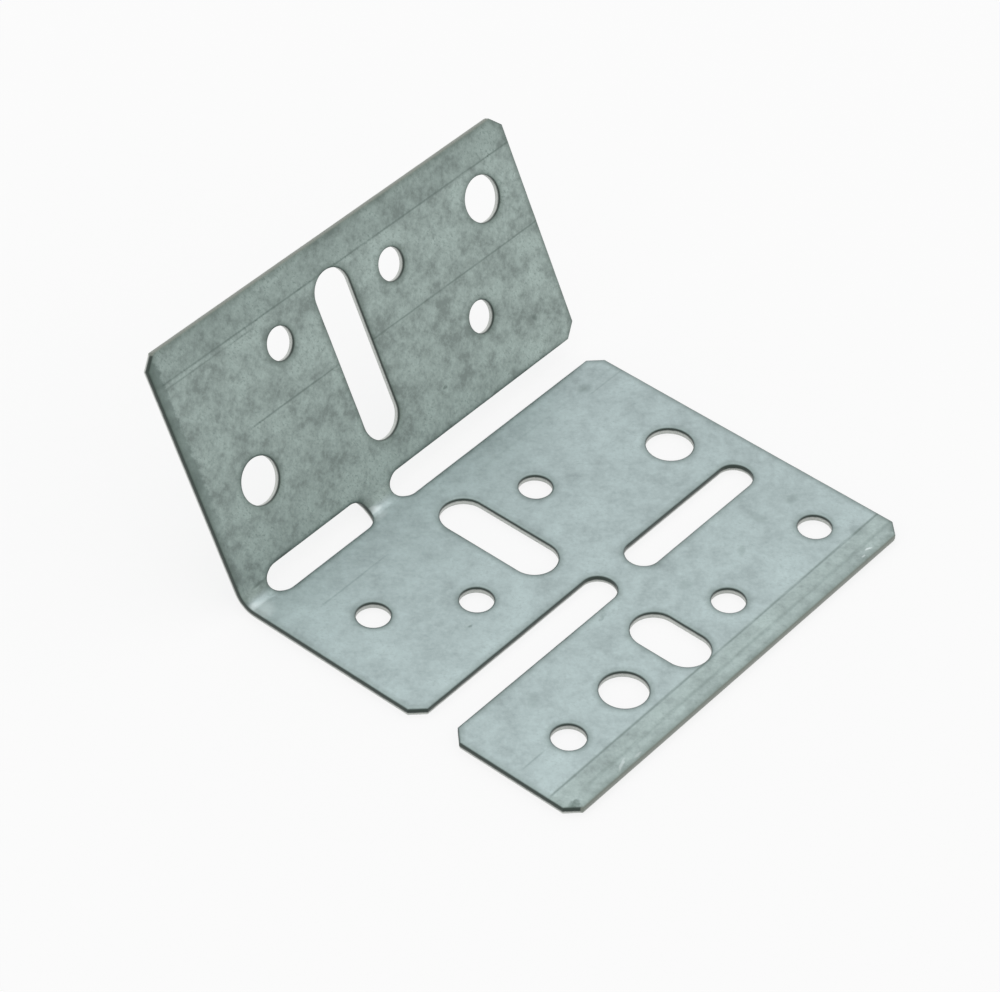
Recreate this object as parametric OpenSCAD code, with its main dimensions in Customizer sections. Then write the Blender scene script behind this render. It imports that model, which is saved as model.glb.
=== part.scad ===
// Corner brace bracket: one piece of punched and folded steel sheet, in millimetres.
//
// The sheet is one section swept along the fold: the base lies flat, the upright leans back from
// it, and the bend lies between them. All that is cut out of it is placed on the flat blank. The
// corners, holes, slots and the slits across the base go square through the panel they lie in. The
// slits of the fold are folded with the sheet, so that their round ends wrap round the bend.
//
// Blank: x runs along the fold from the centreline of the bolt slots, and y is the distance from
// the fold line along the sheet, negative on the base and positive on the upright. The line of the
// slits across the base parts it into a near panel, next to the fold, and an outer panel.
// Model: the origin is on the underside of the base, on the centreline of the bolt slots and
// halfway from the fold line to the outer edge. +X runs along the fold and +Z is up.

/* [Sheet] */
// Thickness of the sheet
sheet = 1.25; // [0.8:0.05:2]
// Length of the plate along the fold
plate_length = 75; // [66:0.5:110]
// Distance from the left end of the plate to the centreline of the bolt slots
slot_line = 34.7; // [31:0.1:38]
// Distance from the fold line to the line of the slits across the base
near_panel = 35.4; // [33:0.1:60]
// Distance from the line of those slits to the outer edge of the base
outer_panel = 25; // [22:0.1:50]
// Distance from the fold line to the top edge of the upright
upright_reach = 39.8; // [34:0.1:70]
// Leg of the 45 degree cut at each free corner
corner_cut = 2; // [0.5:0.05:3.5]

/* [Fold] */
// Angle that the upright is folded up through, from flat
fold_angle = 63.4; // [30:0.1:90]
// Radius of the inside of the bend
bend_radius = 3; // [1.5:0.1:4]
// Depth of the layer that the bend leaves unstretched, as a share of the sheet from the inside
neutral_layer = 0.42; // [0.3:0.01:0.5]

/* [Slits] */
// Width of the slits along the fold
fold_slit = 5.1; // [3:0.1:7]
// Width of the slits across the base
base_slit = 5.35; // [3:0.05:7]
// Width of the neck of sheet left between the slits of the fold
fold_neck = 5.2; // [3:0.1:8]
// Distance of that neck to the left of the centreline of the bolt slots
fold_neck_left = 6; // [2:0.1:10]
// Width of the neck of sheet left between the slits across the base
base_neck = 4.7; // [3:0.1:8]
// Distance of that neck to the right of the centreline of the bolt slots
base_neck_right = 6.1; // [2:0.1:10]
// Width of the strip of sheet left at the closed end of each row of slits
edge_strip = 5; // [3:0.1:8]

/* [Screw and bolt holes] */
// Diameter of the screw holes
screw_hole = 5; // [3:0.1:6.5]
// Diameter of the bolt holes, and width of the bolt slots
bolt_hole = 7.1; // [5:0.1:8.5]
// Distance from the left end of the plate to the column of holes nearest to it
left_end_column = 10.7; // [7:0.1:12]
// Distance from the right end of the plate to the column of holes nearest to it
right_end_column = 8.4; // [7:0.1:11]
// Distance from the centreline of the bolt slots to the column of holes on its left
left_column = 12; // [10:0.1:14]
// Distance from the centreline of the bolt slots to the column of holes on its right
right_column = 11.6; // [10:0.1:14]
// Distance from the centreline of the bolt slots to the upright's lower right screw hole
low_screw_column = 24; // [18:0.1:28]
// Distance from the fold line to the first row of holes in the base
near_row = 14.9; // [8:0.1:17]
// Distance from the line of the base's slits back to the second row of holes in the base
middle_row = 11.6; // [8:0.1:15]
// Distance from the outer edge of the base to the row of holes in its outer panel
outer_row = 9.8; // [7:0.1:14]
// Distance from the fold line to the lower row of holes in the upright
low_row = 14.3; // [8:0.1:17]
// Distance from the top edge of the upright to the upper row of holes in it
high_row = 10; // [7:0.1:14]

/* [Bolt slots] */
// Distance from a line of slits to the end centre of each bolt slot nearest to it
slot_from_slits = 11.1; // [8:0.1:13]
// Distance from a free edge to the end centre of each bolt slot nearest to it
slot_from_edge = 8.3; // [7:0.1:11]

/* [Hidden] */
$fn = 96;

left_end = -slot_line;
right_end = left_end + plate_length;
base_reach = near_panel + outer_panel;

// The neutral layer of the sheet keeps its flat length round the bend
neutral_radius = bend_radius + neutral_layer * sheet;
bend_half = neutral_radius * fold_angle * PI / 360;
bend_axis = [0, base_reach / 2 - bend_half, sheet + bend_radius];

// Columns and rows of holes, and where the slits leave their necks, on the blank
far_left = left_end + left_end_column;
far_right = right_end - right_end_column;
middle = middle_row - near_panel;
outer = outer_row - base_reach;
high = upright_reach - high_row;
fold_neck_from = -fold_neck_left - fold_neck / 2;
fold_neck_to = -fold_neck_left + fold_neck / 2;
base_neck_from = base_neck_right - base_neck / 2;
base_neck_to = base_neck_right + base_neck / 2;

// A cut runs this far past the surface that it opens
clear = 1;
// Steps of the bend's section: an odd number, so that no edge of it meets the tips of the slits
bend_steps = 25;
// Steps of a cut across the fold
fold_steps = 24;

SCREW_HOLES = [
    [right_column, -near_row],
    [far_left, -near_row],
    [-left_column, middle],
    [far_right, outer],
    [right_column, outer],
    [far_left, outer],
    [right_column, high],
    [-left_column, high],
    [low_screw_column, low_row],
];

BOLT_HOLES = [
    [far_right, middle],
    [-left_column, outer],
    [far_right, high],
    [far_left, low_row],
];

// Each bolt slot as the places of its two end centres, the lower one first
BOLT_SLOTS = [
    [slot_from_slits - near_panel, -slot_from_slits],
    [slot_from_edge - base_reach, -near_panel - slot_from_slits],
    [slot_from_slits, upright_reach - slot_from_edge],
];

CORNERS = [for (x = [left_end, right_end], y = [-base_reach, upright_reach]) [x, y]];

// A square set on its corner, whose sides cut 45 degree corners
module diamond(reach) {
    circle(reach, $fn = 4);
}

// A slit across the base, between the tips of its round ends
module base_slit(from, to) {
    radius = base_slit / 2;
    translate([from + radius, -near_panel - radius]) square([to - from - base_slit, base_slit]);
    for (x = [from + radius, to - radius]) translate([x, -near_panel]) circle(radius);
}

// The slits across the base, and the two free corners at the mouth of the open one
module base_slits() {
    base_slit(left_end - base_slit, base_neck_from);
    base_slit(base_neck_to, right_end - edge_strip);
    translate([left_end, -near_panel]) diamond(base_slit / 2 + corner_cut);
}

module bolt_slot(ends) {
    for (y = ends) translate([0, y]) circle(d = bolt_hole);
    translate([-bolt_hole / 2, ends[0]]) square([bolt_hole, ends[1] - ends[0]]);
}

// All that is cut out of the flat blank, but for the slits of the fold
module flat_cuts() {
    base_slits();
    for (corner = CORNERS) translate(corner) diamond(corner_cut);
    for (place = SCREW_HOLES) translate(place) circle(d = screw_hole);
    for (place = BOLT_HOLES) translate(place) circle(d = bolt_hole);
    for (ends = BOLT_SLOTS) bolt_slot(ends);
}

// Place of a point of the blank once it is folded, seen from the bend's axis, at a radius from
// the axis or as far below it on the panels
function folded(x, y, radius) =
    let (
        turn = max(min((y + bend_half) / (2 * bend_half), 1), 0) * fold_angle,
        along = y - max(min(y, bend_half), -bend_half)
    )
    [x, radius * sin(turn) + along * cos(turn), along * sin(turn) - radius * cos(turn)];

// The folded sheet before anything is cut out of it, swept along the fold as one section
module folded_sheet() {
    rows = concat(
        [-base_reach],
        [for (i = [0 : bend_steps]) bend_half * (2 * i / bend_steps - 1)],
        [upright_reach]
    );
    last = len(rows) - 1;
    outside = [for (y = rows) folded(0, y, bend_radius + sheet)];
    inside = [for (i = [0 : last]) folded(0, rows[last - i], bend_radius)];
    translate([left_end, 0, 0]) rotate([90, 0, 90]) linear_extrude(plate_length)
        polygon([for (place = concat(outside, inside)) [place[1], place[2]]]);
}

// What is cut out of one panel, from one row of the blank to another, taken right through the
// sheet. The shift sets the row where the panel meets the bend below the bend's axis
module panel_cuts(from, to, shift) {
    translate([0, shift, -bend_radius - sheet - clear]) linear_extrude(sheet + 2 * clear)
        intersection() {
            flat_cuts();
            translate([left_end - plate_length, from]) square([3 * plate_length, to - from]);
        }
}

// A cut folded with the sheet: rows holds [y, low x, high x] of the flat blank, in order of y
module folded_cut(rows) {
    inside = bend_radius / 2;
    outside = bend_radius + sheet + clear;
    last = len(rows) - 1;
    points = [
        for (row = rows)
            each [
                folded(row[1], row[0], inside),
                folded(row[2], row[0], inside),
                folded(row[2], row[0], outside),
                folded(row[1], row[0], outside),
            ]
    ];
    sides = [
        for (i = [0 : last - 1], k = [0 : 3])
            let (a = 4 * i + k, b = 4 * i + (k + 1) % 4)
            each [[a, b + 4, b], [a, a + 4, b + 4]]
    ];
    polyhedron(points, concat([[0, 1, 2, 3]], sides, [[for (k = [3 : -1 : 0]) 4 * last + k]]));
}

// A slit along the fold, between the tips of its round ends. Its rows lie evenly round the ends
module fold_slit(from, to) {
    radius = fold_slit / 2;
    folded_cut([
        for (i = [0 : fold_steps])
            let (turn = 180 * i / fold_steps, tip = radius * (1 - sin(turn)))
            [-radius * cos(turn), from + tip, to - tip],
    ]);
}

// The two free corners at the mouth of the open slit of the fold, cut by one wedge
module fold_mouth() {
    reach = fold_slit / 2 + corner_cut + clear;
    folded_cut([
        for (i = [0 : fold_steps])
            let (y = reach * (2 * i / fold_steps - 1))
            [y, right_end + clear - reach + abs(y), right_end + 2 * clear],
    ]);
}

module bracket() {
    color([0.66, 0.71, 0.7]) translate(bend_axis) difference() {
        folded_sheet();
        panel_cuts(-base_reach - corner_cut, 0, bend_half);
        rotate([fold_angle, 0, 0]) panel_cuts(0, upright_reach + corner_cut, -bend_half);
        fold_slit(left_end + edge_strip, fold_neck_from);
        fold_slit(fold_neck_to, right_end + fold_slit);
        fold_mouth();
    }
}

bracket();
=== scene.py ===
"""Corner brace bracket: one folded steel sheet with a dull zinc coat, on a pale floor."""

import math

import bpy
import numpy as np
from bpy.props import FloatProperty, FloatVectorProperty, PointerProperty
from mathutils import Matrix, Vector
from mathutils.geometry import delaunay_2d_cdt


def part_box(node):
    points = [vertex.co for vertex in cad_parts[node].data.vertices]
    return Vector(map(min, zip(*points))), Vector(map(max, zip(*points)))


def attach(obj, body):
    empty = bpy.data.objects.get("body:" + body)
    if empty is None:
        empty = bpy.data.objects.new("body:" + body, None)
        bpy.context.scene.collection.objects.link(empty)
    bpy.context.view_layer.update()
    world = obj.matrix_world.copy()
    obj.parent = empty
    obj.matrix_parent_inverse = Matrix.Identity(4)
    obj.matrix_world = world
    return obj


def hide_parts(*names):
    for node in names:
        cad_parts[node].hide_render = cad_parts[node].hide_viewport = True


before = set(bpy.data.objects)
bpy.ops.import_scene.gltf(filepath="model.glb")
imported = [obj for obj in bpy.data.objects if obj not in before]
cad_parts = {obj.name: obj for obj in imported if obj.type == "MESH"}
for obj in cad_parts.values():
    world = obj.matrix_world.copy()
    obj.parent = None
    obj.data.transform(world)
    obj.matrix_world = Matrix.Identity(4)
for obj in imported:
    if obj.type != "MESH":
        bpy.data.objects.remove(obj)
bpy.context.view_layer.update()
CAD_LOW, CAD_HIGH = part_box("bracket")

bl_info = {
    "name": "Corner brace bracket",
    "version": (1, 0, 0),
    "blender": (4, 5, 0),
    "location": "3D View > Sidebar > Bracket",
    "description": "Folds a galvanised sheet bracket and sets a pale studio round it",
    "category": "Object",
}

MM = 0.001
# Lengths in millimetres that differ by less than this are equal
TINY = 1e-6
# From the fold line to the line of the base's slits, in millimetres
NEAR_PANEL = 35.4


def length(name, description, default):
    """A length that a user may change, given here in millimetres and held in metres."""
    return FloatProperty(
        name=name,
        description=description,
        default=default * MM,
        min=0.0,
        unit="LENGTH",
        precision=5,
    )


def colour(name, description, default):
    """A colour that a user may change, given as red, green and blue of linear light."""
    return FloatVectorProperty(
        name=name,
        description=description,
        default=default,
        size=3,
        min=0.0,
        max=1.0,
        subtype="COLOR",
    )


def share(name, description, default, high=1.0):
    """A plain number that a user may change, from 0 to a highest value."""
    return FloatProperty(
        name=name, description=description, default=default, min=0.0, max=high, subtype="FACTOR"
    )


def power(name, description, default):
    """The power of a lamp, in watts, that a user may change."""
    return FloatProperty(
        name=name, description=description, default=default, min=0.0, max=40.0, unit="POWER"
    )


# Settings


class BracketSizes(bpy.types.PropertyGroup):
    """Sizes of the flat blank and of its fold."""

    sheet: length("Sheet", "Thickness of the sheet", 1.25)
    plate_length: length(
        "Plate length", "Length of the plate along the fold", (CAD_HIGH.x - CAD_LOW.x) / MM
    )
    slot_line: length(
        "Slot line",
        "From the left end of the plate to the centreline of the slots",
        -CAD_LOW.x / MM,
    )
    near_panel: length(
        "Near panel", "From the fold line to the line of the base's slits", NEAR_PANEL
    )
    outer_panel: length(
        "Outer panel",
        "From the line of the base's slits to the outer edge",
        -2 * CAD_LOW.y / MM - NEAR_PANEL,
    )
    upright_reach: length(
        "Upright reach", "From the fold line to the top edge of the upright", 39.8
    )
    corner_cut: length("Corner cut", "Leg of the 45 degree cut at each free corner", 2.0)
    fold_angle: FloatProperty(
        name="Fold angle",
        description="Angle that the upright is folded up through",
        default=math.radians(63.4),
        subtype="ANGLE",
    )
    bend_radius: length("Bend radius", "Radius of the inside of the bend", 3.0)
    neutral_layer: share("Neutral layer", "Depth of the unstretched layer, from the inside", 0.42)
    fold_slit: length("Fold slit", "Width of the slits along the fold", 5.1)
    base_slit: length("Base slit", "Width of the slits across the base", 5.35)
    fold_neck: length("Fold neck", "Width of the neck between the slits of the fold", 5.2)
    fold_neck_left: length("Fold neck place", "From the slot line left to the fold's neck", 6.0)
    base_neck: length("Base neck", "Width of the neck between the slits of the base", 4.7)
    base_neck_right: length("Base neck place", "From the slot line right to the base's neck", 6.1)
    edge_strip: length("Edge strip", "Width of the strip left at the closed end of the slits", 5.0)
    screw_hole: length("Screw hole", "Diameter of the screw holes", 5.0)
    bolt_hole: length("Bolt hole", "Diameter of the bolt holes, and width of the bolt slots", 7.1)
    left_end_column: length(
        "Left end column", "From the left end to the first column of holes", 10.7
    )
    right_end_column: length(
        "Right end column", "From the right end to the last column of holes", 8.4
    )
    left_column: length(
        "Left column", "From the slot line to the column of holes on its left", 12.0
    )
    right_column: length(
        "Right column", "From the slot line to the column of holes on its right", 11.6
    )
    low_screw_column: length("Low screw column", "From the slot line to the low screw hole", 24.0)
    near_row: length("Near row", "From the fold line to the first row of holes in the base", 14.9)
    middle_row: length("Middle row", "From the base's slits to the second row of holes", 11.6)
    outer_row: length("Outer row", "From the outer edge to the row of holes next to it", 9.8)
    low_row: length(
        "Low row", "From the fold line to the lower row of holes in the upright", 14.3
    )
    high_row: length(
        "High row", "From the top edge to the upper row of holes in the upright", 10.0
    )
    slot_from_slits: length("Slot from slits", "From a line of slits to a slot's end centre", 11.1)
    slot_from_edge: length("Slot from edge", "From a free edge to a slot's end centre", 8.3)


class BracketRims(bpy.types.PropertyGroup):
    """Sizes of what the punch and the shear leave at each cut edge."""

    roll_width: length("Roll width", "How far the sheet is drawn down beside a cut", 0.5)
    roll_depth: length("Roll depth", "How deep the sheet is drawn down at a cut", 0.13)
    long_edge_roll: share(
        "Long edge roll", "Roll of the two long edges, against that of other cuts", 1.1333, 4.0
    )
    hole_smooth: length("Hole smooth", "Depth to which a hole's wall is wiped smooth", 0.42)
    edge_smooth: length("Edge smooth", "Depth to which the wall of other cuts is smooth", 0.85)
    breakout: length("Breakout", "How far the torn wall falls back at the far side", 0.09)
    corner_radius: length("Corner radius", "Rounding of the cut corners", 0.12)
    edge_wander: length("Edge wander", "How far a cut edge strays from its line", 0.015)
    sheet_wave: length("Sheet wave", "Height of the sheet's shallow waves", 0.05)


class BracketFinish(bpy.types.PropertyGroup):
    """Colours and gloss of the zinc coat and of the bare cut edges."""

    zinc: colour("Zinc", "The coat where it is clean", (0.36, 0.435, 0.437))
    # The dull zinc is partly a duller coat and partly painted shade, as the whole upright is given
    # it
    dull_zinc: colour("Dull zinc", "The coat where it has dulled", (0.317, 0.386, 0.362))
    # This dark colour also serves for painted shade over the bend
    stain: colour("Stain", "Dark smudges in the coat", (0.10, 0.14, 0.125))
    # This bright zinc is also the colour of the painted highlights over the bend
    worn_zinc: colour(
        "Worn zinc", "The coat where it was pressed or scraped bright", (0.68, 0.75, 0.75)
    )
    # A dark tint near every cut: painted shade of the rolled rim
    rim_tint: colour("Rim tint", "The coat where a cut has strained it", (0.06, 0.09, 0.07))
    # Painted shade: a near black reflection in place of bright burnished steel
    smooth_cut: colour("Smooth cut", "The wall that the punch wiped smooth", (0.04, 0.056, 0.048))
    # Partly matte torn steel and partly painted light from below
    torn_cut: colour("Torn cut", "The wall that tore", (0.64, 0.665, 0.635))
    long_edge: colour(
        "Long edge", "The two long edges, which are coated too", (0.22, 0.245, 0.212)
    )
    mottle: share("Mottle", "How strongly the coat is mottled", 1.35, 3.0)
    metal: share("Metal", "How metallic the coat is", 0.8)
    roughness: share("Roughness", "Roughness of the clean coat", 0.36)


class BracketStage(bpy.types.PropertyGroup):
    """Floor, light and camera."""

    floor: colour("Floor", "Colour of the floor", (0.95, 0.95, 0.95))
    soft_light: share("Soft light", "Light that comes from all round", 0.75, 4.0)
    high_lamp: power("High lamp", "Power of the wide lamp high above the bracket", 2.7)
    bend_lamp: power("Bend lamp", "Power of the small lamp that glints in the bend", 0.33)
    lens: FloatProperty(
        name="Lens",
        description="Focal length of the camera",
        default=140.08,
        min=1.0,
        unit="CAMERA",
    )


# The blank and its fold


class Blank:
    """The flat blank in millimetres: x along the fold from the slot line, y from the fold line,
    negative on the base and positive on the upright, and depth from the inner face outwards."""

    # The sizes that aren't lengths
    numbers = ("fold_angle", "neutral_layer")
    # Rows of points across the bend
    row_count = 25
    # How many of the outlines, the last ones, are closed slits
    closed_slits = 2

    def __init__(self, sizes):
        for name in sizes.__annotations__:
            value = getattr(sizes, name)
            setattr(self, name, value if name in self.numbers else value / MM)
        self.left = -self.slot_line
        self.right = self.left + self.plate_length
        self.base_reach = self.near_panel + self.outer_panel
        neutral = self.bend_radius + self.neutral_layer * self.sheet
        self.bend_half = neutral * self.fold_angle / 2
        self.bend_rows = np.linspace(-self.bend_half, self.bend_half, self.row_count)

    def folded(self, flat):
        """Folds points (x, y, depth). Across the bend a point turns by its share of the fold
        angle about the bend's axis, at the bend's radius plus its depth. Past the bend it goes
        straight on by the rest of its distance."""
        x, y, depth = flat.T
        turn = np.clip((y + self.bend_half) / (2 * self.bend_half), 0, 1) * self.fold_angle
        along = y - np.clip(y, -self.bend_half, self.bend_half)
        radius = self.bend_radius + depth
        axis = self.base_reach / 2 - self.bend_half
        across = axis + radius * np.sin(turn) + along * np.cos(turn)
        up = self.sheet + self.bend_radius - radius * np.cos(turn) + along * np.sin(turn)
        return np.stack([x, across, up], 1)

    def outlines(self, corner_radius):
        """Each closed line that the sheet is cut along, as its corners and their radii: the
        outline, the holes, the bolt slots and the closed slits. The metal lies to the left of
        the line. A radius under zero is a hollow, as the end of a slit."""
        cut, fold, base = self.corner_cut, self.fold_slit / 2, self.base_slit / 2
        low, high, line = -self.base_reach, self.upright_reach, -self.near_panel
        neck_right = -self.fold_neck_left + self.fold_neck / 2
        neck_left = self.base_neck_right - self.base_neck / 2
        r = corner_radius
        rim = [
            (self.left + cut, low, r),
            (self.right - cut, low, r),
            (self.right, low + cut, r),
            (self.right, -fold - cut, r),
            (self.right - cut, -fold, r),
            (neck_right, -fold, -fold),
            (neck_right, fold, -fold),
            (self.right - cut, fold, r),
            (self.right, fold + cut, r),
            (self.right, high - cut, r),
            (self.right - cut, high, r),
            (self.left + cut, high, r),
            (self.left, high - cut, r),
            (self.left, line + base + cut, r),
            (self.left + cut, line + base, r),
            (neck_left, line + base, -base),
            (neck_left, line - base, -base),
            (self.left + cut, line - base, r),
            (self.left, line - base - cut, r),
            (self.left, low + cut, r),
        ]
        far_left = self.left + self.left_end_column
        far_right = self.right - self.right_end_column
        middle, outer = line + self.middle_row, low + self.outer_row
        top = high - self.high_row
        screws = [
            (self.right_column, -self.near_row),
            (far_left, -self.near_row),
            (-self.left_column, middle),
            (far_right, outer),
            (self.right_column, outer),
            (far_left, outer),
            (self.right_column, top),
            (-self.left_column, top),
            (self.low_screw_column, self.low_row),
        ]
        bolts = [
            (far_right, middle),
            (-self.left_column, outer),
            (far_right, top),
            (far_left, self.low_row),
        ]
        first, last = self.slot_from_slits, self.slot_from_edge
        slots = [(line + first, -first), (low + last, line - first), (first, high - last)]
        screw, bolt = self.screw_hole / 2, self.bolt_hole / 2
        openings = [(x - screw, x + screw, y - screw, y + screw) for x, y in screws]
        openings += [(x - bolt, x + bolt, y - bolt, y + bolt) for x, y in bolts]
        openings += [(-bolt, bolt, y1 - bolt, y2 + bolt) for y1, y2 in slots]
        strip = self.edge_strip
        openings += [
            (self.left + strip, neck_right - self.fold_neck, -fold, fold),
            (neck_left + self.base_neck, self.right - strip, line - base, line + base),
        ]
        lines = [np.array(rim)]
        for x1, x2, y1, y2 in openings:
            hollow = -min(x2 - x1, y2 - y1) / 2
            places = ((x1, y1), (x1, y2), (x2, y2), (x2, y1))
            lines.append(np.array([(*place, hollow) for place in places]))
        return lines


class CutLine:
    """One closed line of the cut, sampled once and drawn at any distance into the metal. Its
    round and its straight parts are sampled in even steps, and a straight part that crosses the
    bend also at each row of the bend."""

    # The longest step on a round and on a straight part, in millimetres, and the fewest steps
    arc_step, edge_step = 0.3, 0.8
    fewest_on_arc, fewest_on_edge = 4, 2
    # A sample nearer than this to a row of the bend is left out, in millimetres
    row_gap = 0.2

    def __init__(self, corners, blank):
        self.at, self.radius = corners[:, :2], corners[:, 2]
        span = np.roll(self.at, -1, 0) - self.at
        size = np.hypot(*span.T)
        ahead = span / size[:, None]
        behind = np.roll(ahead, 1, 0)
        self.before = np.stack([-behind[:, 1], behind[:, 0]], 1)
        after = np.stack([-ahead[:, 1], ahead[:, 0]], 1)
        self.mitre = (self.before + after) / (1 + (self.before * after).sum(1))[:, None]
        cross = behind[:, 0] * ahead[:, 1] - behind[:, 1] * ahead[:, 0]
        self.turn = np.arctan2(cross, (behind * ahead).sum(1))
        reach = np.abs(self.radius) * np.tan(np.abs(self.turn) / 2)
        free = size - reach - np.roll(reach, -1)
        samples = []
        for i in range(len(corners)):
            joined = free[i] < TINY
            count = math.ceil(abs(self.turn[i] * self.radius[i]) / self.arc_step)
            count = max(self.fewest_on_arc, count)
            steps = np.arange(count + (not joined)) / count
            here = np.full_like(steps, i)
            samples.append(np.stack([here, steps, here, steps, 0 * steps], 1))
            if joined:
                continue
            start = self.at[i] + ahead[i] * reach[i]
            count = max(self.fewest_on_edge, math.ceil(free[i] / self.edge_step))
            steps = np.arange(1, count) / count
            if abs(ahead[i][1]) > TINY:
                rows = (blank.bend_rows - start[1]) / (ahead[i][1] * free[i])
                rows = rows[(rows > 0) & (rows < 1)]
                near = np.abs(steps[:, None] - rows[None]).min(1, initial=1) * free[i]
                steps = np.sort(np.concatenate([steps[near > self.row_gap], rows]))
            here = np.full_like(steps, i)
            there = np.full_like(steps, (i + 1) % len(corners))
            samples.append(np.stack([here, 0 * steps + 1, there, 0 * steps, steps], 1))
        # Each sample: a corner and how far round it, another and how far round that, and how
        # far the sample lies from the one to the other
        table = np.concatenate(samples)
        self.corner = table[:, [0, 2]].astype(int)
        self.part = table[:, [1, 3]]
        self.blend = table[:, 4]

    def drawn(self, inset):
        """The line at an inset into the metal. A corner's point is the corner moved along its
        mitre by the inset, plus its radius times the mitre less the turned normal. A rounding's
        radius shrinks with the inset and a hollow's grows. Between corners it is straight."""
        inset = np.broadcast_to(np.asarray(inset, float), self.blend.shape)
        ends = []
        for side in (0, 1):
            i = self.corner[:, side]
            angle = self.turn[i] * self.part[:, side]
            c, s = np.cos(angle), np.sin(angle)
            n = self.before[i]
            normal = np.stack([n[:, 0] * c - n[:, 1] * s, n[:, 0] * s + n[:, 1] * c], 1)
            r = self.radius[i]
            bend = np.where(r > 0, r / (1 + inset / np.maximum(r, TINY)), r - inset)
            mitre = self.mitre[i]
            ends.append(self.at[i] + mitre * inset[:, None] + bend[:, None] * (mitre - normal))
        return ends[0] + (ends[1] - ends[0]) * self.blend[:, None]


def wander(place, seed, waves, count=5):
    """A smooth random line, from -1 to 1: a sum of sines of the distance along a path, whose
    wavelengths run over the two given, each with its own start."""
    draw = np.random.default_rng(seed)
    rates = 2 * math.pi / draw.uniform(*waves, count)
    starts = draw.uniform(0, 2 * math.pi, count)
    return np.sin(place[:, None] * rates + starts).sum(1) / count


# Wavelengths of the sheet's shallow waves in millimetres, the longest first. The range is a
# little more than that of their sum, in which the longest wave goes from -1 to 1
WAVELENGTHS = (61.0, 43.0, 29.0, 17.0)
WAVE_RANGE = 5.0
WAVE_SEED = 11


def sheet_wave(flat, height):
    """Rise of the sheet's shallow waves at (x, y), from 0 to the height: a sum of slanted sines,
    each as high as it is long."""
    draw = np.random.default_rng(WAVE_SEED)
    total = np.zeros(len(flat))
    for wavelength in WAVELENGTHS:
        slant, start = draw.uniform(0, 2 * math.pi, 2)
        along = flat[:, 0] * math.cos(slant) + flat[:, 1] * math.sin(slant)
        wave = np.sin(2 * math.pi * along / wavelength + start)
        total += wave * wavelength / WAVELENGTHS[0]
    return height * (0.5 + total / WAVE_RANGE)


# How far the rims of the cuts reach over the inner and the outer face, in millimetres, the flat
# step before the roll, and the distance from a cut that all the rest of a face is given
INNER_RIM = 1.25
OUTER_RIM = 0.8
FLAT_STEP = 0.25
FAR_FROM_CUTS = 1.5
# A line within this distance of a long edge's place lies on it
ON_EDGE = 0.02
# Turns round the roll's quarter ellipse, in degrees
ROLL_TURNS = (0, 20, 40, 57, 73, 90)
# Seeds that each cut has to itself
SEEDS_PER_CUT = 10


def rim_rings(line, blank, rims, smooth_depth, seed):
    """The rim of one cut as rings from the inner face, over the edge, down the wall, to the
    outer face. The profile is two flat steps, a quarter ellipse as wide and deep as the roll, a
    plumb smooth wall, and a torn wall that falls back to the breakout. It gives each ring's
    points (x, y, depth), how far each point belongs to the wall, from 0 to 1, and its distance
    from the cut into the metal."""
    flat = line.drawn(0)
    y = flat[:, 1]
    step = np.hypot(*(np.roll(flat, -1, 0) - flat).T)
    place = np.concatenate([[0], np.cumsum(step)[:-1]])
    sheet, back = blank.sheet, rims.breakout / MM
    long_edge = np.minimum(np.abs(y + blank.base_reach), np.abs(y - blank.upright_reach)) < ON_EDGE
    long_edge = long_edge | np.roll(long_edge, 1) | np.roll(long_edge, -1)
    # The roll, the stray from the line, the tear and the smooth depth each wander along the
    # cut, over wavelengths in millimetres
    roll = np.where(long_edge, rims.long_edge_roll, 1.0)
    roll = roll * (1 + 0.12 * wander(place, seed, (2, 9)))
    stray = rims.edge_wander / MM * (0.5 + 0.5 * wander(place, seed + 1, (3, 21)))
    tear = 0.5 + 0.5 * wander(place, seed + 2, (0.5, 3), 9)
    smooth = smooth_depth / MM * (1 + 0.1 * wander(place, seed + 3, (1.2, 8)))
    width, deep = rims.roll_width / MM * roll, rims.roll_depth / MM * roll
    level = np.zeros_like(roll)
    # Each ring's distance into the metal, its depth, and how far it belongs to the wall: first
    # the flat steps and the roll
    rows = [(level + INNER_RIM, level, 0.0), (width + FLAT_STEP, level, 0.0)]
    for turn in np.radians(ROLL_TURNS):
        s, c = math.sin(turn), math.cos(turn)
        rows.append((width * (1 - s), deep * (1 - c), 0.9 * s**4))
    rows += [
        # The smooth wall
        (level, 0.7 * deep + 0.3 * smooth, 1.0),
        (level, smooth, 1.0),
        # The torn wall
        (0.25 * back * (0.6 + tear), smooth + 0.05, 1.0),
        (back * (0.4 + 0.5 * tear), (smooth + sheet) / 2, 1.0),
        (back * (0.75 + 0.35 * tear), level + sheet - 0.08, 1.0),
        (back + 0.02 * tear, level + sheet - 0.02, 1.0),
        # The far edge and the outer face
        (back + 0.03 + 0.02 * tear, level + sheet, 0.6),
        (level + back + 0.2, level + sheet, 0.0),
        (level + OUTER_RIM, level + sheet, 0.0),
    ]
    inset = np.array([row[0] + stray for row in rows])
    depth = np.array([row[1] for row in rows])
    wall = np.array([level + row[2] for row in rows])
    points = np.stack([np.c_[line.drawn(d), z] for d, z in zip(inset, depth)])
    return points, wall, inset


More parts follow.
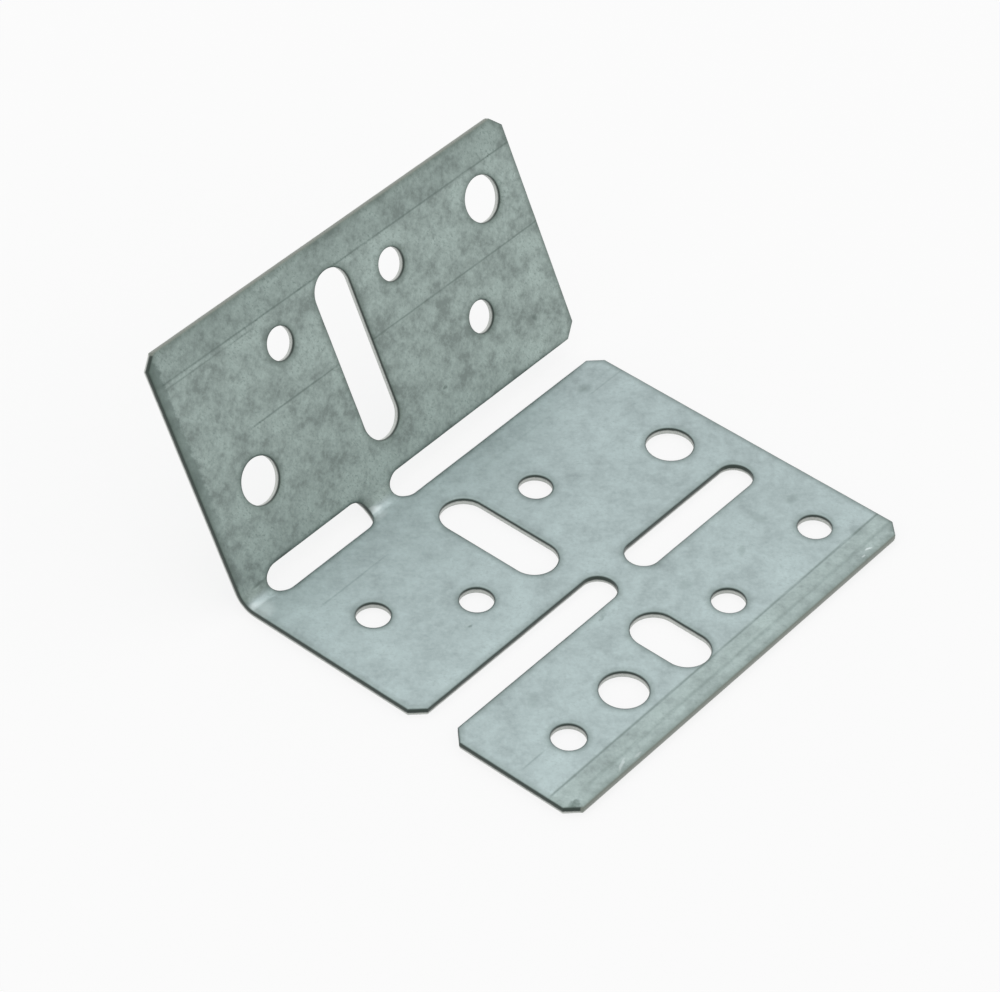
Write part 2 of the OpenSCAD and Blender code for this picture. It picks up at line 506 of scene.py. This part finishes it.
def inside(points, loops):
    """Which points lie in the metal: a ray from each crosses the loops an odd number of times."""
    crossings = np.zeros(len(points), int)
    for loop in loops:
        a, b = loop, np.roll(loop, -1, 0)
        over = (a[None, :, 1] > points[:, 1:2]) != (b[None, :, 1] > points[:, 1:2])
        rise = np.where(b[:, 1] == a[:, 1], 1, b[:, 1] - a[:, 1])
        cross = a[:, 0] + (points[:, 1:2] - a[:, 1]) * (b[:, 0] - a[:, 0]) / rise
        crossings += (over & (points[:, 0:1] < cross)).sum(1)
    return crossings % 2 == 1


# The grid of points on the faces of the sheet, in millimetres: its step and its margin to the
# outline, its least distance to a rim, and the same on the rows of the bend
GRID_STEP = 1.5
GRID_MARGIN = 1.2
GRID_GAP = 0.7
BEND_GRID_STEP = 0.4
BEND_GRID_GAP = 0.22
# Points of a face that are nearer than this would become one
MERGE_DISTANCE = 1e-7


def skin(loops, blank):
    """Fills one face of the sheet between its loops: a grid of points, in close rows over the
    bend, is joined to the loops by the net of triangles in which the circle through three
    corners holds no other point, as far as the loops allow. It gives the grid's points and the
    triangles, which count the loops' points first."""
    rim = np.concatenate(loops)
    xs = np.arange(blank.left + GRID_MARGIN, blank.right - GRID_MARGIN, GRID_STEP)
    ys = np.arange(-blank.base_reach + GRID_MARGIN, blank.upright_reach - GRID_MARGIN, GRID_STEP)
    ys = ys[np.abs(ys) > blank.bend_half + BEND_GRID_STEP]
    wide = np.stack(np.meshgrid(xs, ys), -1).reshape(-1, 2)
    past_neck = -blank.fold_neck_left + blank.fold_neck
    xs = np.arange(blank.left + GRID_MARGIN, past_neck, BEND_GRID_STEP)
    close = np.stack(np.meshgrid(xs, blank.bend_rows), -1).reshape(-1, 2)
    grid = np.concatenate([wide, close])
    grid = grid[inside(grid, loops)]
    gap = np.sqrt(((grid[:, None] - rim[None]) ** 2).sum(-1).min(1))
    on_bend = np.abs(grid[:, 1]) < blank.bend_half + TINY
    grid = grid[gap > np.where(on_bend, BEND_GRID_GAP, GRID_GAP)]
    flat = np.concatenate([rim, grid])
    ends = np.cumsum([len(loop) for loop in loops])
    sides = [np.arange(end - len(loop), end) for loop, end in zip(loops, ends)]
    sides = np.concatenate([np.stack([side, np.roll(side, -1)], 1) for side in sides])
    # No face is given beforehand, and the 0 asks for every triangle, holes included
    _, _, faces, sources, _, _ = delaunay_2d_cdt(
        [Vector(place) for place in flat.tolist()], sides.tolist(), [], 0, MERGE_DISTANCE
    )
    made = np.array([source[0] if source else -1 for source in sources])
    triangles = made[np.array(faces)]
    if len(made) != len(flat) or triangles.min() < 0:
        raise RuntimeError("The sheet's face could not be filled, because its cuts cross")
    triangles = triangles[inside(flat[triangles].mean(1), loops)]
    a, b, c = (flat[triangles[:, k]] for k in range(3))
    turned = (b[:, 0] - a[:, 0]) * (c[:, 1] - a[:, 1]) < (b[:, 1] - a[:, 1]) * (c[:, 0] - a[:, 0])
    triangles[turned] = triangles[turned][:, ::-1]
    return grid, triangles


def put_mesh(name, points, quads, triangles, values):
    """Makes an object of points in millimetres, with four and three cornered faces and one
    value or vector for each point under each name."""
    mesh = bpy.data.meshes.new(name)
    corners = np.concatenate([quads.ravel(), triangles.ravel()]).astype(np.int32)
    starts = [np.arange(len(quads)) * 4, quads.size + np.arange(len(triangles)) * 3]
    starts = np.concatenate(starts).astype(np.int32)
    mesh.vertices.add(len(points))
    mesh.vertices.foreach_set("co", (points * MM).astype(np.float32).ravel())
    mesh.loops.add(len(corners))
    mesh.loops.foreach_set("vertex_index", corners)
    mesh.polygons.add(len(starts))
    mesh.polygons.foreach_set("loop_start", starts)
    mesh.polygons.foreach_set("use_smooth", np.ones(len(starts), bool))
    for label, value in values.items():
        kind, field = ("FLOAT_VECTOR", "vector") if value.ndim == 2 else ("FLOAT", "value")
        layer = mesh.attributes.new(label, kind, "POINT")
        layer.data.foreach_set(field, value.astype(np.float32).ravel())
    mesh.update(calc_edges=True)
    if mesh.validate():
        raise RuntimeError(f"The mesh of {name} has faulty faces")
    piece = bpy.data.objects.new(name, mesh)
    bpy.context.scene.collection.objects.link(piece)
    return piece


def folded_sheet(blank, rims):
    """The whole bracket: the rims of all cuts as grids of rings, and the two faces of the sheet
    filled between them, all in the flat. Then the sheet's waves lift each point towards the
    inner face, and all are folded at once."""
    lines = [CutLine(corners, blank) for corners in blank.outlines(rims.corner_radius / MM)]
    points, walls, gaps, punched, quads, tops, ends = [], [], [], [], [], [], []
    total = 0
    for order, line in enumerate(lines):
        hole = 0 < order < len(lines) - blank.closed_slits
        smooth_depth = rims.hole_smooth if hole else rims.edge_smooth
        rings, wall, inset = rim_rings(line, blank, rims, smooth_depth, SEEDS_PER_CUT * order)
        index = total + np.arange(wall.size).reshape(wall.shape)
        after = np.roll(index, -1, 1)
        quads.append(np.stack([index[:-1], index[1:], after[1:], after[:-1]], -1).reshape(-1, 4))
        points.append(rings.reshape(-1, 3))
        walls.append(wall.ravel())
        gaps.append(inset.ravel())
        punched.append(np.full(wall.size, float(hole)))
        tops.append(index[0])
        ends.append(index[-1])
        total += wall.size
    triangles = []
    for rims_of_face, depth in ((tops, 0.0), (ends, blank.sheet)):
        flat = np.concatenate(points)
        grid, filled = skin([flat[index][:, :2] for index in rims_of_face], blank)
        filled = np.concatenate([*rims_of_face, total + np.arange(len(grid))])[filled]
        triangles.append(filled if depth == 0 else filled[:, ::-1])
        points.append(np.c_[grid, np.full(len(grid), depth)])
        walls.append(np.zeros(len(grid)))
        gaps.append(np.full(len(grid), FAR_FROM_CUTS))
        punched.append(np.zeros(len(grid)))
        total += len(grid)
    flat = np.concatenate(points)
    values = {
        "blank": flat.copy(),
        "wall": np.concatenate(walls),
        "edge_gap": np.concatenate(gaps),
        "punched": np.concatenate(punched),
    }
    flat[:, 2] -= sheet_wave(flat, rims.sheet_wave / MM)
    folded = blank.folded(flat)
    quads, triangles = np.concatenate(quads), np.concatenate(triangles)
    return put_mesh("folded_bracket", folded, quads, triangles, values)


# Finish


class Socket:
    """A shader socket that takes part in plain Python sums, each of which adds a Math node."""

    def __init__(self, nodes, socket):
        self.nodes, self.socket = nodes, socket

    def sum(self, operation, *values, clamp=False):
        """One Math node on these values."""
        settings = {"operation": operation, "use_clamp": clamp}
        return self.nodes.add("ShaderNodeMath", settings, dict(enumerate(values)))

    def __add__(self, other):
        return self.sum("ADD", self, other)

    def __radd__(self, other):
        return self.sum("ADD", other, self)

    def __sub__(self, other):
        return self.sum("SUBTRACT", self, other)

    def __rsub__(self, other):
        return self.sum("SUBTRACT", other, self)

    def __mul__(self, other):
        return self.sum("MULTIPLY", self, other)

    def __rmul__(self, other):
        return self.sum("MULTIPLY", other, self)

    def __abs__(self):
        return self.sum("ABSOLUTE", self)

    def clamped(self):
        """The value held between 0 and 1."""
        return self.sum("ADD", self, 0.0, clamp=True)

    def most(self, other):
        """The larger of two values."""
        return self.sum("MAXIMUM", self, other)

    def step(self, low, high):
        """0 up to low, 1 from high, and smooth between them."""
        ends = {"From Min": low, "From Max": high, "Value": self}
        return self.nodes.add("ShaderNodeMapRange", {"interpolation_type": "SMOOTHSTEP"}, ends)

    def near(self, place, width):
        """1 at a place, falling smoothly to 0 at a width to each side of it."""
        return 1.0 - abs(self - place).step(0.0, width)


class Nodes:
    """The nodes of one material or world."""

    # Size of a noise's patches through the sheet, in millimetres
    patch_depth = 0.6
    # How far a seed moves a noise across the fold, for each step along it
    seed_slant = 1.7

    def __init__(self, tree):
        self.tree = tree
        tree.nodes.clear()

    def add(self, kind, settings=None, sockets=None, out=0):
        """One node of a type: its settings first, then the values or links of its sockets."""
        node = self.tree.nodes.new(kind)
        for name, value in (settings or {}).items():
            setattr(node, name, value)
        for name, value in (sockets or {}).items():
            if isinstance(value, Socket):
                self.tree.links.new(value.socket, node.inputs[name])
            else:
                node.inputs[name].default_value = value
        return Socket(self, node.outputs[out]) if node.outputs else None

    def mix(self, factor, low, high):
        """One colour faded into another."""
        low, high = (c if isinstance(c, Socket) else (*c[:3], 1.0) for c in (low, high))
        return self.add("ShaderNodeMix", {"data_type": "RGBA"}, {0: factor, 6: low, 7: high}, 2)

    def value(self, name):
        """A number that the mesh holds at each point."""
        return self.add("ShaderNodeAttribute", {"attribute_name": name}, out="Fac")

    def grain(self, vector, size, turn, seed, detail, roughness):
        """Cloudy noise about one half. Its patches have a length and a width in millimetres and
        lie at an angle to the fold, in degrees. The seed moves it to another stretch of the
        pattern."""
        places = {
            "Vector": vector,
            "Scale": (*size, self.patch_depth),
            "Location": (seed, self.seed_slant * seed, 0.0),
            "Rotation": (0.0, 0.0, math.radians(turn)),
        }
        place = self.add("ShaderNodeMapping", {"vector_type": "TEXTURE"}, places)
        noise = {"Vector": place, "Scale": 1.0, "Detail": detail, "Roughness": roughness}
        return self.add("ShaderNodeTexNoise", None, noise)


class SheetPoint:
    """What the finish is worked out from at a point of the sheet, each a socket: its place on
    the flat blank, how it lies to the cuts, the zone of the sheet it is in, and six noises."""

    def __init__(self, nodes, blank):
        flat = nodes.add("ShaderNodeAttribute", {"attribute_name": "blank"}, out="Vector")
        self.x, self.y, depth = (
            nodes.add("ShaderNodeSeparateXYZ", None, {0: flat}, axis) for axis in "XYZ"
        )
        self.deep = depth * (1.0 / blank.sheet)
        self.wall = nodes.value("wall")
        self.gap = nodes.value("edge_gap")
        self.punched = nodes.value("punched")

        # Each zone fades in or out between two places on the blank, or two shares of the sheet
        low, high = -blank.base_reach, blank.upright_reach
        self.upright = self.y.step(-0.9, 0.6)
        self.outer_strip = 1.0 - self.y.step(low + 3.9, low + 5.2)
        self.top_strip = self.y.step(high - 5.3, high - 4.6)
        top_edge = self.y.step(high - 0.4, high - 0.2)
        self.long_edge = (1.0 - self.y.step(low + 0.2, low + 0.4)).most(top_edge)
        self.seen_face = 1.0 - self.deep.step(0.3, 0.6)

        self.cloud = nodes.grain(flat, (4.2, 3.6), turn=30, seed=3.0, detail=7.0, roughness=0.68)
        self.smear = nodes.grain(flat, (2.0, 1.5), turn=-45, seed=41.0, detail=5.0, roughness=0.7)
        self.fine = nodes.grain(flat, (0.8, 0.7), turn=60, seed=77.0, detail=3.0, roughness=0.7)
        self.patch = nodes.grain(flat, (11.0, 8.0), turn=15, seed=19.0, detail=3.0, roughness=0.55)
        self.speck = nodes.grain(flat, (0.5, 0.35), turn=-60, seed=97.0, detail=2.0, roughness=0.6)
        self.streak = nodes.grain(flat, (6.0, 0.5), turn=0, seed=23.0, detail=3.0, roughness=0.6)


def strongest(marks):
    """The strongest of several marks at a point."""
    total = None
    for mark in marks:
        total = mark if total is None else total.most(mark)
    return total


def oval_mark(x, y, centre, size, turn):
    """1 near the middle of an oval, falling smoothly to 0 at its rim. It goes by the square of
    the distance along the oval, in lengths, plus that of the distance across it, in widths."""
    c, s = math.cos(math.radians(turn)), math.sin(math.radians(turn))
    long = ((x - centre[0]) * c + (y - centre[1]) * s) * (1.0 / size[0])
    wide = ((y - centre[1]) * c - (x - centre[0]) * s) * (1.0 / size[1])
    return 1.0 - (long * long + wide * wide).step(0.1, 1.0)


# Soft ovals on the seen face of the blank, in millimetres: the centre, half the length and width,
# the turn in degrees and the strength. The dark ones are marks in the coat, but the last four,
# over the bend, are painted shade. The bright ones over the bend, the first four, are painted
# highlights, and the rest are scrapes in the coat
DARK_SPOTS = (
    ((-16.75, -26.6), (0.5, 0.35), 0, 0.6),
    ((12.8, 8.6), (0.5, 0.35), 20, 0.8),
    ((33.4, 8.9), (0.7, 0.5), 0, 0.6),
    ((-3.1, -39.3), (0.9, 0.5), 10, 0.4),
    ((20.8, -45.7), (1.5, 0.7), 35, 0.3),
    ((28.0, -43.5), (1.2, 1.9), 0, 0.22),
    ((34.5, -44.7), (1.5, 1.0), 20, 0.25),
    ((35.2, -55.7), (1.3, 1.2), 0, 0.25),
    ((33.2, -6.6), (1.5, 1.1), 0, 0.3),
    ((-21.8, -42.5), (2.0, 1.1), 30, 0.22),
    ((10.0, -44.0), (1.7, 1.2), -20, 0.22),
    ((-33.3, -59.0), (1.2, 0.8), 0, 0.7),
    # These four lie over the bend and are painted shade
    ((-9.4, 1.9), (1.5, 0.8), 10, 0.5),
    ((-31.0, 1.35), (1.3, 0.4), 0, 0.35),
    ((-4.0, -0.8), (1.7, 1.1), 0, 0.42),
    ((-30.2, -0.8), (1.4, 1.1), 0, 0.4),
)
BRIGHT_SPOTS = (
    # These four lie over the bend and are painted highlights
    ((-34.5, -2.5), (3.6, 2.3), 0, 0.38),
    ((-34.6, -1.2), (2.0, 0.9), 8, 0.42),
    ((-8.6, -0.4), (2.6, 0.8), -12, 0.5),
    ((-8.4, -2.0), (2.2, 1.0), 0, 0.25),
    # These four are scrapes in the coat
    ((33.3, -59.2), (0.8, 0.22), -20, 0.7),
    ((31.6, -59.6), (0.5, 0.2), 10, 0.5),
    ((-23.2, -59.3), (1.6, 0.3), 25, 0.35),
    ((-20.4, -59.8), (1.0, 0.25), 0, 0.3),
)
# How far a rolling line fades out at each end, to each side, in millimetres
LINE_FADE = 1.0


def spots(x, y, places):
    """The strongest of several soft ovals at a point of the blank."""
    return strongest(oval_mark(x, y, *place) * strength for *place, strength in places)


def rolling_lines_and_bend_shade(x, y, blank):
    """The faint lines that the rolls of the mill and the press left along the sheet, and one line
    of painted shade over the bend: for each a narrow peak across the sheet, times its reach along
    it."""
    low, high = -blank.base_reach, blank.upright_reach
    # The place across the sheet, the two ends along it, the width to each side, the strength
    lines = (
        (high - 4.8, -33.0, 41.0, 0.26, 0.75),
        (high - 5.6, -33.0, -16.0, 0.24, 0.6),
        (high - 18.0, -22.0, 41.0, 0.26, 0.85),
        # This line lies over the bend and is painted shade
        (1.4, -32.0, -29.0, 0.36, 0.7),
        (-8.3, -27.5, -14.0, 0.26, 0.4),
        (-6.5, 8.0, 41.0, 0.4, 0.15),
        (-8.0, 32.5, 41.0, 0.26, 0.35),
        (-49.8, -32.5, -28.5, 0.26, 0.5),
        (low + 4.6, -34.0, 41.0, 0.34, 0.9),
        (low + 2.2, -30.0, 41.0, 0.5, 0.4),
    )
    marks = []
    for place, start, end, width, strength in lines:
        begun = x.step(start - LINE_FADE, start + LINE_FADE)
        along = begun * (1.0 - x.step(end - LINE_FADE, end + LINE_FADE))
        marks.append(y.near(place, width) * along * strength)
    return strongest(marks)


def mottled_zinc(nodes, point, look):
    """The coat before its dark marks and painted shade are laid on. Its tone is one half plus a
    weighted sum of four noises, livelier on the upright and the outer strip, and fades a zinc from
    dark to light. The base has the clean zinc, the upright the dull one, and the outer strip half
    of each. The dull zinc is partly a duller coat and partly painted shade, as the whole upright
    is given it."""
    tone = (point.cloud - 0.5) * 1.7 + (point.smear - 0.5) * 1.2
    tone = tone + (point.fine - 0.5) * 0.8 + (point.patch - 0.5) * 1.2
    lively = (0.49 + point.upright * 0.6 + point.outer_strip * 0.2) * look.mottle
    tone = (tone * lively + 0.5).clamped()
    dark, light = 0.7, 1.3
    clean, dull = (
        nodes.mix(tone, [dark * c for c in zinc], [light * c for c in zinc])
        for zinc in (look.zinc, look.dull_zinc)
    )
    # The upright's dull zinc is partly painted shade
    return nodes.mix((point.upright + point.outer_strip * 0.5).clamped(), clean, dull)


def smudges_and_shade(point):
    """How dark the coat is marked: the strongest of blotches, where clouds and smears lie in a
    wide patch, of a ragged dark patch down the upright's left end, of specks, and of the dark
    spots, of which the four over the bend are painted shade. The left end's patch and the spots
    lie on the seen face only."""
    x, y, cloud, smear, fine = point.x, point.y, point.cloud, point.smear, point.fine
    blotch = (cloud * 0.4 + smear * 0.6).step(0.53, 0.66) * point.patch.step(0.4, 0.62)
    blotch = blotch * (0.2 + point.upright * 0.25 + point.outer_strip * 0.1)
    ragged = x + (smear - 0.5) * 2.2
    left_end = (0.55 + fine * 0.9) * (1.0 - ragged.step(-33.4, -32.7)) * y.step(4.0, 22.0)
    left_end = left_end * point.seen_face * 0.5
    specks = point.speck.step(0.54, 0.66) * (cloud * 0.5 + point.patch * 0.5).step(0.46, 0.58)
    specks = specks * (0.14 + point.upright * 0.2)
    # The four dark spots over the bend are painted shade
    dark = spots(x + (smear - 0.5) * 2.0, y + (cloud - 0.5) * 2.0, DARK_SPOTS)
    dark = dark * point.seen_face * (0.4 + fine.step(0.3, 0.65) * 0.6)
    return strongest((blotch, left_end, specks, dark))


def zinc_coat(nodes, point, look, smudge_and_shade, lines):
    """The coat's colour. The mottled zinc is darkened by the dark marks, the rolling lines, the
    strips along both long edges and a band at the foot of the upright, over the bend, which is
    painted shade, as are the dark spots and the one line over the bend. Then the bright spots
    brighten it, the scrapes and the painted highlights over the bend, and near each cut it is
    darkened with painted shade of the rolled rim."""
    soiled_and_shaded = smudge_and_shade + lines * 0.6 + point.top_strip * 0.16 + point.outer_strip * 0.09
    # A darker band at the foot of the upright, over the bend: painted shade
    soiled_and_shaded = (soiled_and_shaded + point.y.near(0.8, 1.5) * point.seen_face * 0.2).clamped()
    coat = nodes.mix(soiled_and_shaded, mottled_zinc(nodes, point, look), look.stain)
    # The bright spots over the bend are painted highlights, the rest scrapes
    scrapes_and_highlights = spots(point.x, point.y + (point.smear - 0.5) * 0.8, BRIGHT_SPOTS)
    coat = nodes.mix(scrapes_and_highlights * point.seen_face, coat, look.worn_zinc)
    # Painted shade near each cut, for the rolled rim
    shaded = (1.0 - point.gap.step(0.0, INNER_RIM)) * 0.36
    return nodes.mix(shaded, coat, look.rim_tint)


def galvanised_steel(blank, look):
    """Galvanised sheet: the zinc coat, and on the walls of the cuts bare steel, dark where the
    punch wiped it and pale where it tore, which starts less deep in a hole. The near black of the
    wiped part is painted shade, a dark reflection in place of bright burnished steel, and the pale
    of the torn part is partly painted light from below. The two long edges were cut before the
    sheet was coated, so they are nearly the same zinc all over."""
    material = bpy.data.materials.new("galvanised_steel")
    material.use_nodes = True
    nodes = Nodes(material.node_tree)
    point = SheetPoint(nodes, blank)
    fine, wall, long_edge = point.fine, point.wall, point.long_edge

    smudge_and_shade = smudges_and_shade(point)
    ragged = 0.35 + point.streak.step(0.25, 0.55) * 0.65
    lines = rolling_lines_and_bend_shade(point.x, point.y, blank) * (ragged * point.seen_face)
    coat = zinc_coat(nodes, point, look, smudge_and_shade, lines)

    # Shares of the sheet's thickness at which the wall begins to tear and is all torn
    torn_from, torn_fully = 0.5 - point.punched * 0.22, 0.82 - point.punched * 0.22
    torn = (point.deep + (fine - 0.5) * 0.2).step(torn_from, torn_fully)
    # The smooth wall's near black is painted shade, and the torn wall's pale is partly painted
    # light
    cut = nodes.mix(torn, look.smooth_cut, look.torn_cut)
    cut = nodes.mix(long_edge * 0.9, cut, look.long_edge)
    bare = torn * wall * (1.0 - long_edge)

    stretched = point.y.near(-0.9, 1.8) * (1.0 - wall)
    gloss = look.roughness + smudge_and_shade * 0.1 + (fine - 0.5) * 0.15 - stretched * 0.05 + bare * 0.3
    height = fine * 0.5 + point.cloud * 0.6 - lines * 0.5 + point.smear * 0.3
    bump = {"Strength": 0.12, "Distance": 0.0002, "Height": height}
    finish = {
        "Base Color": nodes.mix(wall, coat, cut),
        "Metallic": look.metal - bare * 0.6,
        "Roughness": gloss,
        "Normal": nodes.add("ShaderNodeBump", None, bump),
    }
    shader = nodes.add("ShaderNodeBsdfPrincipled", None, finish)
    nodes.add("ShaderNodeOutputMaterial", None, {"Surface": shader})
    return material


class BRACKET_OT_sheet(bpy.types.Operator):
    """Fold the galvanised sheet, with its holes, slots, slits and cut edges"""

    bl_idname = "bracket.sheet"
    bl_label = "Folded sheet"

    def execute(self, context):
        blank = Blank(context.scene.bracket_sizes)
        piece = folded_sheet(blank, context.scene.bracket_rims)
        piece.data.materials.append(galvanised_steel(blank, context.scene.bracket_finish))
        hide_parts("bracket")
        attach(piece, "root")
        return {"FINISHED"}


# Stage

WHITE = (1.0, 1.0, 1.0, 1.0)
# Half the side of the floor, in metres
FLOOR_REACH = 3.0
# Share of plain white in the floor's own colour, for the rays that show it
FLOOR_WHITE = 0.8
# Where each lamp lies from the bracket, its distance and its side, in metres
HIGH_LAMP = ((0.15, 0.35, 0.92), 1.5, 1.0)
BEND_LAMP = ((0.57, 0.08, 0.82), 1.0, 0.42)
# Width of the camera's sensor in millimetres, and how near and far it sees in metres
SENSOR = 36.0
NEAREST, FARTHEST = 0.01, 20.0
# Where the camera stands in metres, and its turn, as its own right, up and back in columns
CAMERA_PLACE = (-0.315334, -0.244136, 0.386461)
CAMERA_TURN = (
    (0.646632, 0.508591, -0.568509),
    (-0.76249, 0.452279, -0.462659),
    (0.02182, 0.732652, 0.680253),
)


def seen_directly(nodes):
    """1 for rays that show a thing, straight or in metal or glass, and 0 for those that light."""
    rays = ("Is Camera Ray", "Is Glossy Ray", "Is Transmission Ray")
    return strongest(nodes.add("ShaderNodeLightPath", out=ray) for ray in rays)


def pale_floor(look):
    """A wide square floor of matt paint. The rays that show it find it mostly plain white, so
    that it reads as white and still holds the bracket's shadow."""
    low, high = -FLOOR_REACH, FLOOR_REACH
    mesh = bpy.data.meshes.new("floor")
    corners = [(low, low, 0), (high, low, 0), (high, high, 0), (low, high, 0)]
    mesh.from_pydata(corners, [], [(0, 1, 2, 3)])
    paint = bpy.data.materials.new("pale_floor")
    paint.use_nodes = True
    nodes = Nodes(paint.node_tree)
    matt = nodes.add("ShaderNodeBsdfDiffuse", None, {"Color": (*look.floor, 1.0)})
    white = nodes.add("ShaderNodeEmission", None, {"Color": WHITE, "Strength": 1.0})
    mixed = {0: seen_directly(nodes) * FLOOR_WHITE, 1: matt, 2: white}
    both = nodes.add("ShaderNodeMixShader", None, mixed)
    nodes.add("ShaderNodeOutputMaterial", None, {"Surface": both})
    mesh.materials.append(paint)
    return bpy.data.objects.new("floor", mesh)


def pale_surround(look):
    """The world: the soft light, and plain white to the rays that show it."""
    world = bpy.data.worlds.new("pale_surround")
    world.use_nodes = True
    nodes = Nodes(world.node_tree)
    strength = seen_directly(nodes) * (1.0 - look.soft_light) + look.soft_light
    sky = nodes.add("ShaderNodeBackground", None, {"Color": WHITE, "Strength": strength})
    nodes.add("ShaderNodeOutputWorld", None, {"Surface": sky})
    return world


def area_lamp(name, towards, distance, side, watts):
    """A square lamp that stands off from the bracket in one direction and faces it."""
    lamp = bpy.data.lights.new(name, "AREA")
    lamp.shape, lamp.size, lamp.energy = "SQUARE", side, watts
    holder = bpy.data.objects.new(name, lamp)
    direction = Vector(towards).normalized()
    holder.location = direction * distance
    holder.rotation_mode = "QUATERNION"
    holder.rotation_quaternion = direction.to_track_quat("Z", "Y")
    return holder


def camera_of_photo(look):
    """The camera, standing and turned as its fit to the photograph gave it."""
    lens = bpy.data.cameras.new("camera")
    lens.lens, lens.sensor_width = look.lens, SENSOR
    lens.clip_start, lens.clip_end = NEAREST, FARTHEST
    camera = bpy.data.objects.new("camera", lens)
    camera.matrix_world = Matrix.Translation(CAMERA_PLACE) @ Matrix(CAMERA_TURN).to_4x4()
    return camera


class BRACKET_OT_stage(bpy.types.Operator):
    """Set the floor, the light and the camera round the bracket"""

    bl_idname = "bracket.stage"
    bl_label = "Studio"

    def execute(self, context):
        scene, look = context.scene, context.scene.bracket_stage
        scene.view_settings.view_transform = "Standard"
        floor = pale_floor(look)
        camera = camera_of_photo(look)
        lamps = (
            area_lamp("high_lamp", *HIGH_LAMP, look.high_lamp),
            area_lamp("bend_lamp", *BEND_LAMP, look.bend_lamp),
        )
        for thing in (floor, *lamps, camera):
            scene.collection.objects.link(thing)
        scene.world = pale_surround(look)
        scene.camera = camera
        return {"FINISHED"}


class BRACKET_PT_panel(bpy.types.Panel):
    """The bracket's settings, and the steps that make it"""

    bl_label = "Bracket"
    bl_idname = "BRACKET_PT_panel"
    bl_space_type = "VIEW_3D"
    bl_region_type = "UI"
    bl_category = "Bracket"

    def draw(self, context):
        layout = self.layout
        for name in SETTINGS:
            settings = getattr(context.scene, name)
            box = layout.box()
            for setting in settings.__annotations__:
                box.prop(settings, setting)
        for step in STEPS:
            layout.operator(step.bl_idname)


SETTINGS = {
    "bracket_sizes": BracketSizes,
    "bracket_rims": BracketRims,
    "bracket_finish": BracketFinish,
    "bracket_stage": BracketStage,
}
STEPS = (BRACKET_OT_sheet, BRACKET_OT_stage)
CLASSES = (*SETTINGS.values(), *STEPS, BRACKET_PT_panel)


def register():
    for made in CLASSES:
        bpy.utils.register_class(made)
    for name, group in SETTINGS.items():
        setattr(bpy.types.Scene, name, PointerProperty(type=group))


def unregister():
    for name in SETTINGS:
        delattr(bpy.types.Scene, name)
    for made in reversed(CLASSES):
        bpy.utils.unregister_class(made)


def main():
    register()
    bpy.ops.bracket.sheet()
    bpy.ops.bracket.stage()


if __name__ == "__main__":
    main()
